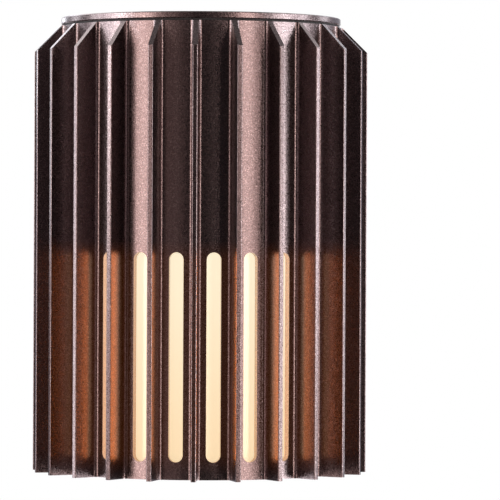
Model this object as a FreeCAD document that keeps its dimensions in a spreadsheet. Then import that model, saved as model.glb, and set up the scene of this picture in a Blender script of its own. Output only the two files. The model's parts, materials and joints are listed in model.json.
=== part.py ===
import FreeCAD, Part
import math
import os
import re
import Sketcher
from FreeCAD import Placement, Rotation, Vector

# Outdoor wall light: a finned drum on a short box that stands on a wall bracket.
# Each piece is drawn about the drum's upright axis, with zero at the drum's lower edge,
# +X to the right, -Y to the front and +Y to the wall. The row's origin is then moved to
# the middle of the bracket's back face, which lies on the wall.

# Sizes in millimetres, degrees and counts.
SIZES = {
    # where the drum hangs
    "rear_fin_gap": 5,
    "mount_height": 125,
    # drum and fins
    "drum_radius": 73,
    "drum_wall": 3.5,
    "drum_height": 231.7,
    "fin_tip_radius": 87,
    "fin_count": 24,
    "fin_thickness": 2.6,
    "fin_root_fillet": 1.9,
    "fin_edge_radius": 0.45,
    "fin_chamfer": 13.1,
    # light slots
    "slot_count": 10,
    "slot_width": 7.4,
    "slot_bottom": 8.9,
    "slot_top": 114.7,
    # wall box on the drum's back
    "box_width": 94,
    "box_height": 150,
    "box_wall": 3.2,
    "box_corner": 10,
    "wire_window_width": 36,
    "wire_window_height": 20,
    "drain_radius": 2.5,
    # screw bosses inside the drum
    "boss_count": 3,
    "boss_ring": 65,
    "boss_radius": 5,
    # cap
    "cap_radius": 73,
    "cap_thickness": 3.5,
    "cap_bevel": 0.5,
    "cap_gasket_thickness": 1.0,
    "cap_gasket_inset": 0.6,
    # M4 screws
    "screw_radius": 2.0,
    "screw_hole_radius": 2.2,
    "screw_length": 14,
    "pan_head_radius": 3.9,
    "pan_head_height": 2.4,
    "sunk_head_radius": 3.9,
    "sunk_head_height": 2.2,
    "socket_radius": 1.45,
    "socket_depth": 1.3,
    # lamp tray
    "tray_thickness": 1.6,
    # wall bracket
    "bracket_thickness": 2.0,
    "bracket_corner": 8,
    "bracket_gap": 0.9,
    "flange_reach": 20,
    "flange_height": 40,
    "fixing_spacing_x": 60,
    "fixing_spacing_z": 100,
    "fixing_slot_radius": 2.5,
    "fixing_slot_length": 12,
    "wall_gasket_thickness": 2.0,
    # cable grommet
    "grommet_edge_gap": 6.4,
    "cable_radius": 4.0,
    "grommet_neck_radius": 9,
    "grommet_flange_radius": 11.5,
    "grommet_flange_thickness": 2.5,
    # lock screws
    "lock_inset": 12,
    "lock_screw_length": 10,
    "lock_slot_gap": 0.3,
    "washer_radius": 4.6,
    "washer_thickness": 0.8,
    # screw-in cover
    "cover_recess": 0.6,
    "cover_height": 7.2,
    "cover_lip": 2.2,
    "cover_lip_radius": 58,
    "spanner_hole_count": 6,
    "spanner_hole_radius": 1.7,
    "spanner_hole_depth": 1.4,
    "seal_radius": 0.8,
    "seal_flat": 0.35,
    "seal_level": 5.0,
    "diffuser_radius": 66.3,
    "diffuser_wall": 2.4,
    "diffuser_top": 125,
    "diffuser_corner": 3.0,
    "diffuser_gasket_thickness": 0.5,
    "diffuser_fit": 0.3,
    # lampholder
    "collar_gap": 2.0,
    "contact_gap": 1.8,
    "dome_height": 20,
    "holder_radius": 20,
    "holder_mouth_radius": 19,
    "holder_wall": 2.4,
    "holder_lip_radius": 14.3,
    "holder_lip": 2.0,
    "holder_neck_radius": 13,
    "holder_neck": 2.0,
    "holder_shoulder": 6.0,
    "insert_radius": 15.4,
    "insert_drop": 4.2,
    "insert_rise": 4.0,
    "thread_sleeve_wall": 0.4,
    "thread_sleeve_length": 22,
    "contact_strip_width": 5,
    "contact_strip_thickness": 0.5,
    "contact_strip_half_length": 9,
    "nipple_radius": 4.95,
    "nipple_bore": 3.7,
    "nipple_foot": 8,
    "nipple_length": 16,
    "nut_radius": 8.0,
    "nut_height": 4.0,
    # lamp
    "lamp_bottom": 34,
    "globe_radius": 30,
    "globe_wall": 1.4,
    "globe_rim_rise": 14,
    "lamp_neck_radius": 15.5,
    "lamp_neck_rise": 32,
    "lamp_collar_radius": 14,
    "lamp_collar_rise": 39,
    "lamp_wall": 1.8,
    "board_radius": 24.3,
    "board_thickness": 1.6,
    "led_count": 12,
    "led_size": 3,
    "led_height": 0.8,
    "led_ring": 17,
    "driver_width": 16,
    "driver_height": 34,
    "driver_thickness": 1.4,
    "base_radius": 13.05,
    "base_length": 22,
    "base_wall": 0.4,
    "insulator_radius": 11.5,
    "insulator_height": 1.6,
    "button_radius": 4.6,
    "button_height": 1.4,
    "button_crown": 0.6,
    # terminal block
    "block_front": 43,
    "block_depth": 16,
    "block_height": 14.4,
    "pole_count": 3,
    "pole_pitch": 10,
    "pole_level": 7,
    "clamp_radius": 2.85,
    "clamp_bore": 1.6,
    "clamp_length": 14,
    "clamp_screw_radius": 1.25,
    "clamp_head_radius": 1.8,
    "clamp_head_height": 1.6,
    "clamp_screw_length": 4.0,
    "clamp_screw_spacing": 8,
    "block_screw_radius": 1.5,
    "block_screw_head_radius": 2.8,
    "block_screw_head_height": 2.0,
    "block_screw_grip": 3.0,
    # earth stud
    "earth_x": 28,
    "earth_y": 18,
    "lug_radius": 4.2,
    "lug_thickness": 0.8,
    "lug_barrel_radius": 1.9,
    "lug_barrel_length": 7,
    "earth_screw_length": 12,
    "earth_nut_radius": 4.0,
    "earth_nut_height": 3.0,
    # leads
    "lead_radius": 1.1,
    "lead_offset": 1.6,
    "lead_arch_share": 0.475,
    # clearances and overrun
    "running_gap": 0.05,
    "loose_gap": 0.1,
    "overrun": 5,
}

# Levels and radii that follow from the sizes above.
WORKED_OUT = {
    "drum_bore": "(drum_radius - drum_wall)",
    "fin_half": "(fin_thickness / 2)",
    "root_half": "(fin_thickness / 2 + fin_root_fillet)",
    "root_reach": "sqrt(drum_radius ^ 2 - (fin_thickness / 2 + fin_root_fillet) ^ 2)",
    "axis_depth": "(fin_tip_radius + rear_fin_gap)",
    "box_back": "(axis_depth - wall_gasket_thickness)",
    "box_half": "(box_width / 2)",
    "box_floor": "(mount_height - box_height / 2)",
    "box_roof": "(mount_height + box_height / 2)",
    "bracket_half": "(box_width / 2 - box_wall - bracket_gap)",
    "lock_depth": "(box_back - lock_inset + screw_radius)",
    "cable_height": "(box_roof - box_wall - bracket_gap - grommet_edge_gap - grommet_flange_radius)",
    "holder_mouth": "(base_bottom + collar_gap)",
    "holder_split": "(lamp_top + contact_gap + insert_drop)",
    "tray_level": "(holder_split + dome_height)",
    "tray_top": "(tray_level + tray_thickness)",
    "cap_underside": "(drum_height + cap_gasket_thickness)",
    "cap_top": "(drum_height + cap_gasket_thickness + cap_thickness)",
    "cover_radius": "(drum_bore - running_gap)",
    "cover_top": "(cover_recess + cover_height)",
    "seal_middle": "(drum_bore - running_gap - seal_radius)",
    "groove_floor": "(seal_middle - seal_radius - running_gap)",
    "groove_half": "(seal_radius + running_gap)",
    "diffuser_bottom": "(cover_recess + cover_lip + diffuser_gasket_thickness)",
    "insert_bottom": "(holder_split - insert_drop)",
    "sleeve_bore": "(base_radius + running_gap)",
    "globe_middle": "(lamp_bottom + globe_radius)",
    "globe_rim": "(globe_middle + globe_rim_rise)",
    "globe_rim_radius": "sqrt(globe_radius ^ 2 - globe_rim_rise ^ 2)",
    "globe_inside": "(globe_radius - globe_wall)",
    "globe_rim_inside": "sqrt((globe_radius - globe_wall) ^ 2 - globe_rim_rise ^ 2)",
    "lamp_neck": "(globe_rim + lamp_neck_rise)",
    "base_bottom": "(globe_rim + lamp_collar_rise)",
    "base_top": "(base_bottom + base_length)",
    "insulator_top": "(base_top + insulator_height)",
    "lamp_top": "(insulator_top + button_height)",
    "block_half": "(pole_count * pole_pitch / 2)",
    "block_back": "(block_front + block_depth)",
    "pole_height": "(tray_top + pole_level)",
    "clamp_front": "(block_front + (block_depth - clamp_length) / 2)",
    "clamp_middle": "(block_front + block_depth / 2)",
    "clamp_screw_tip": "(pole_height + lead_radius + loose_gap)",
    "lug_top": "(tray_top + lug_thickness)",
    "lug_axis": "(tray_top + lug_barrel_radius + loose_gap)",
    "lead_arch": "(lead_arch_share * (cap_underside - tray_top))",
}

doc = FreeCAD.newDocument("outdoor_wall_light")
sheet = doc.addObject("Spreadsheet::Sheet", "dims")
for row, (alias, number) in enumerate(SIZES.items(), 1):
    sheet.set(f"A{row}", alias)
    sheet.set(f"B{row}", str(number))
    sheet.setAlias(f"B{row}", alias)
doc.recompute()

UPRIGHT = Vector(0, 0, 1)
PLANE_TURN_AXIS = {"XY_Plane": Vector(0, 0, 1), "XZ_Plane": Vector(0, 1, 0), "YZ_Plane": Vector(0, 1, 0)}


def bound(text):
    """Write each size's name in an expression as a cell of the sheet."""
    def swap(match):
        word = match.group(0)
        if word in WORKED_OUT:
            return bound(WORKED_OUT[word])
        return f"dims.{word}" if word in SIZES else word
    return re.sub(r"[a-z]\w*", swap, text)


def value(text):
    """The number that an expression of sizes gives now."""
    return float(sheet.evalExpression(bound(text)))


def origin_feature(body, role):
    return next(feature for feature in body.Origin.OriginFeatures if feature.Role == role)


def new_body(label):
    body = doc.addObject("PartDesign::Body", label)
    body.Label = label
    return body


def place(piece, x="0", y="0", z="0", rotation=None):
    """Put a piece drawn about the drum's axis, or about its own, into the row's frame."""
    piece.Placement = Placement(Vector(), rotation or Rotation())
    piece.setExpression("Placement.Base.x", bound(x))
    piece.setExpression("Placement.Base.y", bound(f"{y} - axis_depth"))
    piece.setExpression("Placement.Base.z", bound(f"{z} - mount_height"))
    doc.recompute()
    return piece


def new_sketch(body, name, plane="XY_Plane", lift="0", turn="0"):
    """A sketch on one of the body's own planes, moved along its normal and turned."""
    sketch = body.newObject("Sketcher::SketchObject", name)
    sketch.AttachmentSupport = [(origin_feature(body, plane), "")]
    sketch.MapMode = "FlatFace"
    if turn != "0":
        spin = Rotation(PLANE_TURN_AXIS[plane], value(turn))
        sketch.AttachmentOffset = Placement(Vector(), spin)
    if lift != "0":
        sketch.setExpression("AttachmentOffset.Base.z", bound(lift))
    return sketch


def fix_point(sketch, edge, end, x, y):
    """Hold one end of an edge at a place given by two expressions."""
    for kind, axis, text in (("DistanceX", -2, x), ("DistanceY", -1, y)):
        if text == "0":
            sketch.addConstraint(Sketcher.Constraint("PointOnObject", edge, end, axis))
        else:
            held = sketch.addConstraint(Sketcher.Constraint(kind, -1, 1, edge, end, value(text)))
            sketch.setExpression(f"Constraints[{held}]", bound(text))


def outline(sketch, points):
    """Draw a closed outline through points (x, y), or (x, y, centre x, centre y) where an
    arc of up to a quarter turn leads from that point to the next."""
    start = 1
    finish = 2
    edges = []
    for number, point in enumerate(points):
        after = points[(number + 1) % len(points)]
        here = Vector(value(point[0]), value(point[1]), 0)
        there = Vector(value(after[0]), value(after[1]), 0)
        if len(point) == 2:
            edge = sketch.addGeometry(Part.LineSegment(here, there), False)
            edges.append((edge, start, finish))
            continue
        middle = Vector(value(point[2]), value(point[3]), 0)
        leftward = (here - middle).cross(there - middle).z > 0
        first, last = (here, there) if leftward else (there, here)
        circle = Part.Circle(middle, UPRIGHT, (here - middle).Length)
        arc = Part.ArcOfCircle(circle, circle.parameter(first), circle.parameter(last))
        edge = sketch.addGeometry(arc, False)
        edges.append((edge, start, finish) if leftward else (edge, finish, start))
    for number, (edge, begin, end) in enumerate(edges):
        following, following_begin, _ = edges[(number + 1) % len(edges)]
        sketch.addConstraint(Sketcher.Constraint("Coincident", edge, end, following, following_begin))
    for point, (edge, begin, _) in zip(points, edges):
        fix_point(sketch, edge, begin, point[0], point[1])
    for number, (point, (edge, _, _)) in enumerate(zip(points, edges)):
        if len(point) == 2:
            continue
        after = points[(number + 1) % len(points)]
        rise = abs(value(after[1]) - value(point[1]))
        run = abs(value(after[0]) - value(point[0]))
        kind, axis, text = ("DistanceX", -2, point[2]) if rise > run else ("DistanceY", -1, point[3])
        if text == "0":
            sketch.addConstraint(Sketcher.Constraint("PointOnObject", edge, 3, axis))
        else:
            middle = value(text)
            held = sketch.addConstraint(Sketcher.Constraint(kind, -1, 1, edge, 3, middle))
            sketch.setExpression(f"Constraints[{held}]", bound(text))
    return sketch


def circle(sketch, radius, x="0", y="0"):
    """Add a circle of a named radius to a sketch."""
    centre = Vector(value(x), value(y), 0)
    edge = sketch.addGeometry(Part.Circle(centre, UPRIGHT, value(radius)), False)
    fix_point(sketch, edge, 3, x, y)
    held = sketch.addConstraint(Sketcher.Constraint("Radius", edge, value(radius)))
    sketch.setExpression(f"Constraints[{held}]", bound(radius))
    return sketch


def rounded_rectangle(sketch, half, bottom, top, corner, middle="0"):
    """Add a rectangle with round corners, centred on middle across its width."""
    left = f"{middle} - {half}"
    right = f"{middle} + {half}"
    return outline(sketch, [
        (f"{left} + {corner}", bottom),
        (f"{right} - {corner}", bottom, f"{right} - {corner}", f"{bottom} + {corner}"),
        (right, f"{bottom} + {corner}"),
        (right, f"{top} - {corner}", f"{right} - {corner}", f"{top} - {corner}"),
        (f"{right} - {corner}", top),
        (f"{left} + {corner}", top, f"{left} + {corner}", f"{top} - {corner}"),
        (left, f"{top} - {corner}"),
        (left, f"{bottom} + {corner}", f"{left} + {corner}", f"{bottom} + {corner}"),
    ])


def long_slot(sketch, half_width, low, high, middle="0", upright=True):
    """Add a slot with full round ends, its end arcs centred at low and high."""
    along = [
        (f"{middle} + {half_width}", low),
        (f"{middle} + {half_width}", high, middle, high),
        (middle, f"{high} + {half_width}", middle, high),
        (f"{middle} - {half_width}", high),
        (f"{middle} - {half_width}", low, middle, low),
        (middle, f"{low} - {half_width}", middle, low),
    ]
    if upright:
        return outline(sketch, along)
    flat = []
    for point in along:
        flat.append((point[1], point[0]) if len(point) == 2 else (point[1], point[0], point[3], point[2]))
    return outline(sketch, flat)


def hexagon(sketch, radius, x="0", y="0"):
    """Add a hexagon of a named corner radius."""
    corners = []
    for side in range(6):
        angle = 60 * side
        corners.append((f"{x} + {radius} * cos({angle})", f"{y} + {radius} * sin({angle})"))
    return outline(sketch, corners)


def pad(body, name, sketch, length, backward=False, both=False):
    """Extrude a sketch and add it to the body."""
    feature = body.newObject("PartDesign::Pad", name)
    feature.Profile = sketch
    feature.setExpression("Length", bound(length))
    feature.Reversed = backward
    if both:
        feature.SideType = "Symmetric"
    doc.recompute()
    return feature


def pocket(body, name, sketch, length, backward=False, both=False):
    """Cut an extruded sketch out of the body, and see that it cut something."""
    before = body.Shape.Volume
    feature = body.newObject("PartDesign::Pocket", name)
    feature.Profile = sketch
    feature.setExpression("Length", bound(length))
    feature.Reversed = backward
    if both:
        feature.SideType = "Symmetric"
    doc.recompute()
    if not feature.Shape.Volume < before:
        raise RuntimeError(f"{body.Label} {name} cuts nothing")
    return feature


def turned(body, name, points, plane="XZ_Plane", axis_x=None, turn="0", cut=False):
    """Revolve an outline about the drum's axis, or about an upright line at axis_x, where
    the outline's first and last points lie."""
    sketch = new_sketch(body, f"{name}_outline", plane, turn=turn)
    outline(sketch, points)
    before = body.Shape.Volume if cut else 0
    axis = (sketch, ["V_Axis"])
    if axis_x is not None:
        line = Part.LineSegment(Vector(value(axis_x), value(points[0][1]), 0),
                                Vector(value(axis_x), value(points[-1][1]), 0))
        edge = sketch.addGeometry(line, True)
        fix_point(sketch, edge, 1, axis_x, points[0][1])
        fix_point(sketch, edge, 2, axis_x, points[-1][1])
        axis = (sketch, ["Axis0"])
    kind = "PartDesign::Groove" if cut else "PartDesign::Revolution"
    feature = body.newObject(kind, name)
    feature.Profile = sketch
    feature.ReferenceAxis = axis
    feature.Angle = 360
    doc.recompute()
    if cut and not feature.Shape.Volume < before:
        raise RuntimeError(f"{body.Label} {name} cuts nothing")
    return feature


def around(body, name, features, count, angle="360"):
    """Repeat features about the drum's axis."""
    pattern = body.newObject("PartDesign::PolarPattern", name)
    pattern.Originals = features
    pattern.Axis = (origin_feature(body, "Z_Axis"), [""])
    pattern.setExpression("Angle", bound(angle))
    pattern.setExpression("Occurrences", bound(count))
    body.Tip = pattern
    doc.recompute()
    return pattern


def in_line(body, name, features, axis, count, pitch):
    """Repeat features along one of the body's axes, a pitch apart."""
    pattern = body.newObject("PartDesign::LinearPattern", name)
    pattern.Originals = features
    pattern.Direction = (origin_feature(body, axis), [""])
    pattern.setExpression("Length", bound(f"({count} - 1) * {pitch}"))
    pattern.setExpression("Occurrences", bound(count))
    body.Tip = pattern
    doc.recompute()
    return pattern


def ring_piece(label, inner, outer, bottom, thickness):
    """A flat ring about the drum's axis."""
    body = new_body(label)
    sketch = new_sketch(body, "ring", lift=bottom)
    circle(sketch, outer)
    circle(sketch, inner)
    pad(body, "ring_pad", sketch, thickness)
    return place(body)


def finned_housing():
    """The drum with its fins, slots, bosses and wall box, cast in one."""
    body = new_body("finned_housing")
    disc = circle(new_sketch(body, "drum_disc"), "drum_radius")
    pad(body, "drum_blank", disc, "drum_height")
    fin = outline(new_sketch(body, "fin_profile"), [
        ("-root_half", "-drum_radius + drum_wall / 2"),
        ("-root_half", "-root_reach", "-root_half", "-root_reach - fin_root_fillet"),
        ("-fin_half", "-root_reach - fin_root_fillet"),
        ("-fin_half", "-fin_tip_radius + fin_edge_radius",
         "-fin_half + fin_edge_radius", "-fin_tip_radius + fin_edge_radius"),
        ("-fin_half + fin_edge_radius", "-fin_tip_radius"),
        ("fin_half - fin_edge_radius", "-fin_tip_radius",
         "fin_half - fin_edge_radius", "-fin_tip_radius + fin_edge_radius"),
        ("fin_half", "-fin_tip_radius + fin_edge_radius"),
        ("fin_half", "-root_reach - fin_root_fillet", "root_half", "-root_reach - fin_root_fillet"),
        ("root_half", "-root_reach"),
        ("root_half", "-drum_radius + drum_wall / 2"),
    ])
    first_fin = pad(body, "first_fin", fin, "drum_height")
    around(body, "fins", [first_fin], "fin_count")
    turned(body, "fin_top_chamfer", [
        ("fin_tip_radius + overrun", "drum_height - fin_chamfer - overrun"),
        ("fin_tip_radius + overrun", "drum_height + overrun"),
        ("fin_tip_radius - fin_chamfer - overrun", "drum_height + overrun"),
    ], cut=True)
    box = new_sketch(body, "box_outline", "XZ_Plane")
    rounded_rectangle(box, "box_half", "box_floor", "box_roof", "box_corner")
    pad(body, "wall_box", box, "box_back", backward=True)
    hollow = new_sketch(body, "box_hollow_outline", "XZ_Plane")
    rounded_rectangle(hollow, "(box_half - box_wall)", "box_floor + box_wall", "box_roof - box_wall",
                      "(box_corner - box_wall)")
    pocket(body, "box_hollow", hollow, "box_back + overrun")
    bore = circle(new_sketch(body, "bore_circle", lift="-overrun"), "drum_bore")
    pocket(body, "drum_bore_cut", bore, "drum_height + 2 * overrun", backward=True)
    wall = new_sketch(body, "wall_circles")
    circle(wall, "drum_radius")
    circle(wall, "drum_bore")
    pad(body, "drum_wall_ring", wall, "drum_height")
    boss = circle(new_sketch(body, "boss_circle", lift="tray_top"), "boss_radius", y="-boss_ring")
    first_boss = pad(body, "first_boss", boss, "drum_height - tray_top")
    hole = circle(new_sketch(body, "boss_hole_circle", lift="tray_top - overrun"),
                  "screw_radius + running_gap", y="-boss_ring")
    first_hole = pocket(body, "first_boss_hole", hole, "drum_height - tray_top + 2 * overrun", backward=True)
    around(body, "bosses", [first_boss, first_hole], "boss_count")
    slot = new_sketch(body, "slot_outline", "XZ_Plane",
                      turn="-(slot_count - 1) * 180 / fin_count")
    long_slot(slot, "(slot_width / 2)", "slot_bottom + slot_width / 2", "slot_top - slot_width / 2")
    first_slot = pocket(body, "first_slot", slot, "fin_tip_radius + overrun", backward=True)
    around(body, "slots", [first_slot], "slot_count", "(slot_count - 1) * 360 / fin_count")
    window = new_sketch(body, "wire_window_outline", "XZ_Plane")
    rounded_rectangle(window, "(wire_window_width / 2)", "cable_height - wire_window_height / 2",
                      "cable_height + wire_window_height / 2", "(wire_window_height / 4)")
    pocket(body, "wire_window", window, "drum_radius")
    fork = new_sketch(body, "lock_slot_outline", "YZ_Plane")
    outline(fork, [
        ("box_back + overrun", "mount_height + screw_radius + lock_slot_gap"),
        ("lock_depth", "mount_height + screw_radius + lock_slot_gap", "lock_depth", "mount_height"),
        ("lock_depth - screw_radius - lock_slot_gap", "mount_height", "lock_depth", "mount_height"),
        ("lock_depth", "mount_height - screw_radius - lock_slot_gap"),
        ("box_back + overrun", "mount_height - screw_radius - lock_slot_gap"),
    ])
    pocket(body, "lock_slots", fork, "box_width + overrun", both=True)
    drain = circle(new_sketch(body, "drain_circle", lift="box_floor - overrun"), "drain_radius",
                   y="(drum_radius + box_back) / 2")
    pocket(body, "drain_hole", drain, "box_wall + 2 * overrun", backward=True)
    return place(body)


def top_cap():
    """The flat round cap, with countersunk holes for its screws."""
    body = new_body("top_cap")
    turned(body, "disc", [
        ("0", "cap_underside"),
        ("cap_radius - cap_bevel", "cap_underside"),
        ("cap_radius", "cap_underside + cap_bevel"),
        ("cap_radius", "cap_top - cap_bevel"),
        ("cap_radius - cap_bevel", "cap_top"),
        ("0", "cap_top"),
    ])
    sink = turned(body, "sunk_hole", [
        ("boss_ring", "cap_underside - overrun"),
        ("boss_ring + screw_hole_radius", "cap_underside - overrun"),
        ("boss_ring + screw_hole_radius", "cap_top - sunk_head_height - loose_gap"),
        ("boss_ring + sunk_head_radius + loose_gap", "cap_top - loose_gap"),
        ("boss_ring + sunk_head_radius + loose_gap", "cap_top + overrun"),
        ("boss_ring", "cap_top + overrun"),
    ], axis_x="boss_ring", turn="-90", cut=True)
    around(body, "sunk_holes", [sink], "boss_count")
    return place(body)


def cap_gasket():
    """The seal under the cap, with an ear round each boss."""
    body = new_body("cap_gasket")
    ring = new_sketch(body, "ring", lift="drum_height")
    circle(ring, "drum_radius - cap_gasket_inset")
    circle(ring, "drum_bore")
    pad(body, "ring_pad", ring, "cap_gasket_thickness")
    ear = new_sketch(body, "ear", lift="drum_height")
    circle(ear, "boss_radius", y="-boss_ring")
    circle(ear, "screw_hole_radius", y="-boss_ring")
    first_ear = pad(body, "first_ear", ear, "cap_gasket_thickness")
    around(body, "ears", [first_ear], "boss_count")
    return place(body)


def cap_screws():
    """Countersunk socket screws that hold the cap."""
    body = new_body("cap_screws")
    screw = turned(body, "first_screw", [
        ("boss_ring", "cap_top - screw_length"),
        ("boss_ring + screw_radius", "cap_top - screw_length"),
        ("boss_ring + screw_radius", "cap_top - sunk_head_height"),
        ("boss_ring + sunk_head_radius", "cap_top - loose_gap"),
        ("boss_ring", "cap_top - loose_gap"),
    ], axis_x="boss_ring", turn="-90")
    socket = hexagon(new_sketch(body, "socket", lift="cap_top"), "socket_radius", y="-boss_ring")
    first_socket = pocket(body, "first_socket", socket, "socket_depth")
    around(body, "screws", [screw, first_socket], "boss_count")
    return place(body)


def lamp_tray():
    """The painted disc that carries the lampholder below and the wiring above."""
    body = new_body("lamp_tray")
    disc = new_sketch(body, "disc", lift="tray_level")
    circle(disc, "drum_bore - diffuser_fit")
    circle(disc, "nipple_radius + loose_gap")
    circle(disc, "screw_radius + loose_gap", x="earth_x", y="earth_y")
    circle(disc, "block_screw_radius + loose_gap", x="-pole_pitch / 2", y="clamp_middle")
    pad(body, "disc_pad", disc, "tray_thickness")
    hole = circle(new_sketch(body, "screw_hole", lift="tray_level - overrun"), "screw_hole_radius",
                  y="-boss_ring")
    first_hole = pocket(body, "first_hole", hole, "tray_thickness + 2 * overrun", backward=True)
    around(body, "holes", [first_hole], "boss_count")
    return place(body)


def tray_screws():
    """Pan head screws that hold the tray against the bosses, from below."""
    body = new_body("tray_screws")
    screw = turned(body, "first_screw", [
        ("boss_ring", "tray_level - pan_head_height"),
        ("boss_ring + pan_head_radius - cap_bevel", "tray_level - pan_head_height"),
        ("boss_ring + pan_head_radius", "tray_level - pan_head_height / 2"),
        ("boss_ring + pan_head_radius", "tray_level"),
        ("boss_ring + screw_radius", "tray_level"),
        ("boss_ring + screw_radius", "tray_level + screw_length"),
        ("boss_ring", "tray_level + screw_length"),
    ], axis_x="boss_ring", turn="-90")
    around(body, "screws", [screw], "boss_count")
    return place(body)


def lampholder_skirt():
    """The lower half of the lampholder's case."""
    body = new_body("lampholder_skirt")
    turned(body, "skirt", [
        ("holder_lip_radius", "holder_mouth"),
        ("holder_mouth_radius", "holder_mouth"),
        ("holder_radius", "holder_split"),
        ("insert_radius + loose_gap", "holder_split"),
        ("insert_radius + loose_gap", "holder_mouth + holder_lip"),
        ("holder_lip_radius", "holder_mouth + holder_lip"),
    ])
    return place(body)


def lampholder_dome():
    """The upper half of the case, seated under the tray."""
    body = new_body("lampholder_dome")
    turned(body, "dome", [
        ("holder_radius - holder_wall", "holder_split"),
        ("holder_radius", "holder_split"),
        ("holder_radius", "holder_split + holder_shoulder"),
        ("holder_neck_radius", "tray_level - holder_neck"),
        ("holder_neck_radius", "tray_level"),
        ("nipple_radius + loose_gap", "tray_level"),
        ("nipple_radius + loose_gap", "tray_level - 2 * holder_wall"),
        ("holder_neck_radius - holder_wall", "tray_level - 2 * holder_wall"),
        ("holder_radius - holder_wall", "holder_split + holder_shoulder"),
    ])
    return place(body)


def lampholder_insert():
    """The ceramic core that carries the contacts, with two wire holes."""
    body = new_body("lampholder_insert")
    turned(body, "core", [
        ("0", "insert_bottom"),
        ("insert_radius", "insert_bottom"),
        ("insert_radius", "holder_split"),
        ("holder_radius - holder_wall - loose_gap", "holder_split"),
        ("holder_radius - holder_wall - loose_gap", "holder_split + insert_rise"),
        ("0", "holder_split + insert_rise"),
    ])
    return place(body)


def lampholder_sleeve():
    """The brass sleeve that the lamp screws into."""
    body = new_body("lampholder_sleeve")
    turned(body, "sleeve", [
        ("sleeve_bore", "insert_bottom - thread_sleeve_length"),
        ("sleeve_bore + thread_sleeve_wall", "insert_bottom - thread_sleeve_length"),
        ("sleeve_bore + thread_sleeve_wall", "insert_bottom - thread_sleeve_wall"),
        ("insert_radius", "insert_bottom - thread_sleeve_wall"),
        ("insert_radius", "insert_bottom"),
        ("sleeve_bore", "insert_bottom"),
    ])
    return place(body)


def centre_contact():
    """The bent leaf that presses on the lamp's centre contact."""
    body = new_body("centre_contact")
    leaf = outline(new_sketch(body, "leaf", "XZ_Plane"), [
        ("-contact_strip_half_length", "insert_bottom"),
        ("-contact_strip_half_length", "insert_bottom - contact_strip_thickness"),
        ("-contact_strip_half_length / 2", "insert_bottom - contact_strip_thickness"),
        ("-contact_strip_half_length / 4", "lamp_top + loose_gap"),
        ("contact_strip_half_length / 3", "lamp_top + loose_gap"),
        ("contact_strip_half_length / 3", "lamp_top + loose_gap + contact_strip_thickness"),
        ("-contact_strip_half_length / 4", "lamp_top + loose_gap + contact_strip_thickness"),
        ("-contact_strip_half_length / 2", "insert_bottom"),
    ])
    pad(body, "strip", leaf, "contact_strip_width", both=True)
    return place(body)


def holder_nipple():
    """The hollow threaded tube from the lampholder up through the tray."""
    return ring_piece("holder_nipple", "nipple_bore", "nipple_radius", "tray_level - nipple_foot",
                      "nipple_length")


def nipple_nut():
    """The flat nut that clamps the lampholder to the tray."""
    body = new_body("nipple_nut")
    flats = new_sketch(body, "flats", lift="tray_top")
    hexagon(flats, "nut_radius")
    circle(flats, "nipple_radius + running_gap")
    pad(body, "nut", flats, "nut_height")
    return place(body)


def terminal_block():
    """The three pole block, with a wire port and two screw wells for each pole."""
    body = new_body("terminal_block")
    base = outline(new_sketch(body, "base", lift="tray_top"), [
        ("-block_half", "block_front"),
        ("block_half", "block_front"),
        ("block_half", "block_back"),
        ("-block_half", "block_back"),
    ])
    pad(body, "block", base, "block_height")
    port = circle(new_sketch(body, "port", "XZ_Plane"), "clamp_radius + running_gap",
                  x="-pole_pitch", y="pole_height")
    first_port = pocket(body, "first_port", port, "block_back + overrun")
    wells = new_sketch(body, "wells", lift="tray_top + block_height")
    for side in ("-", "+"):
        circle(wells, "clamp_head_radius + loose_gap", x="-pole_pitch",
               y=f"clamp_middle {side} clamp_screw_spacing / 2")
    first_wells = pocket(body, "first_wells", wells, "block_height - pole_level")
    in_line(body, "poles", [first_port, first_wells], "X_Axis", "pole_count", "pole_pitch")
    fixing = circle(new_sketch(body, "fixing", lift="tray_top - overrun"),
                    "block_screw_radius + running_gap", x="-pole_pitch / 2", y="clamp_middle")
    pocket(body, "fixing_hole", fixing, "block_height + 2 * overrun", backward=True)
    return place(body)


def terminal_clamps():
    """The brass tubes inside the block, cross drilled for their screws."""
    body = new_body("terminal_clamps")
    end = new_sketch(body, "end", "XZ_Plane", lift="-clamp_front")
    circle(end, "clamp_radius", x="-pole_pitch", y="pole_height")
    circle(end, "clamp_bore", x="-pole_pitch", y="pole_height")
    tube = pad(body, "first_tube", end, "clamp_length", backward=True)
    holes = new_sketch(body, "holes", lift="pole_height + overrun")
    for side in ("-", "+"):
        circle(holes, "clamp_screw_radius + running_gap", x="-pole_pitch",
               y=f"clamp_middle {side} clamp_screw_spacing / 2")
    first_holes = pocket(body, "first_holes", holes, "overrun")
    in_line(body, "tubes", [tube, first_holes], "X_Axis", "pole_count", "pole_pitch")
    return place(body)


def terminal_screws():
    """The six clamping screws, two in each pole."""
    body = new_body("terminal_screws")
    shanks = new_sketch(body, "shanks", lift="clamp_screw_tip")
    heads = new_sketch(body, "heads", lift="clamp_screw_tip + clamp_screw_length - clamp_head_height")
    for side in ("-", "+"):
        middle = f"clamp_middle {side} clamp_screw_spacing / 2"
        circle(shanks, "clamp_screw_radius", x="-pole_pitch", y=middle)
        circle(heads, "clamp_head_radius", x="-pole_pitch", y=middle)
    first_shanks = pad(body, "first_shanks", shanks, "clamp_screw_length")
    first_heads = pad(body, "first_heads", heads, "clamp_head_height")
    in_line(body, "screws", [first_shanks, first_heads], "X_Axis", "pole_count", "pole_pitch")
    return place(body)


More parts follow.
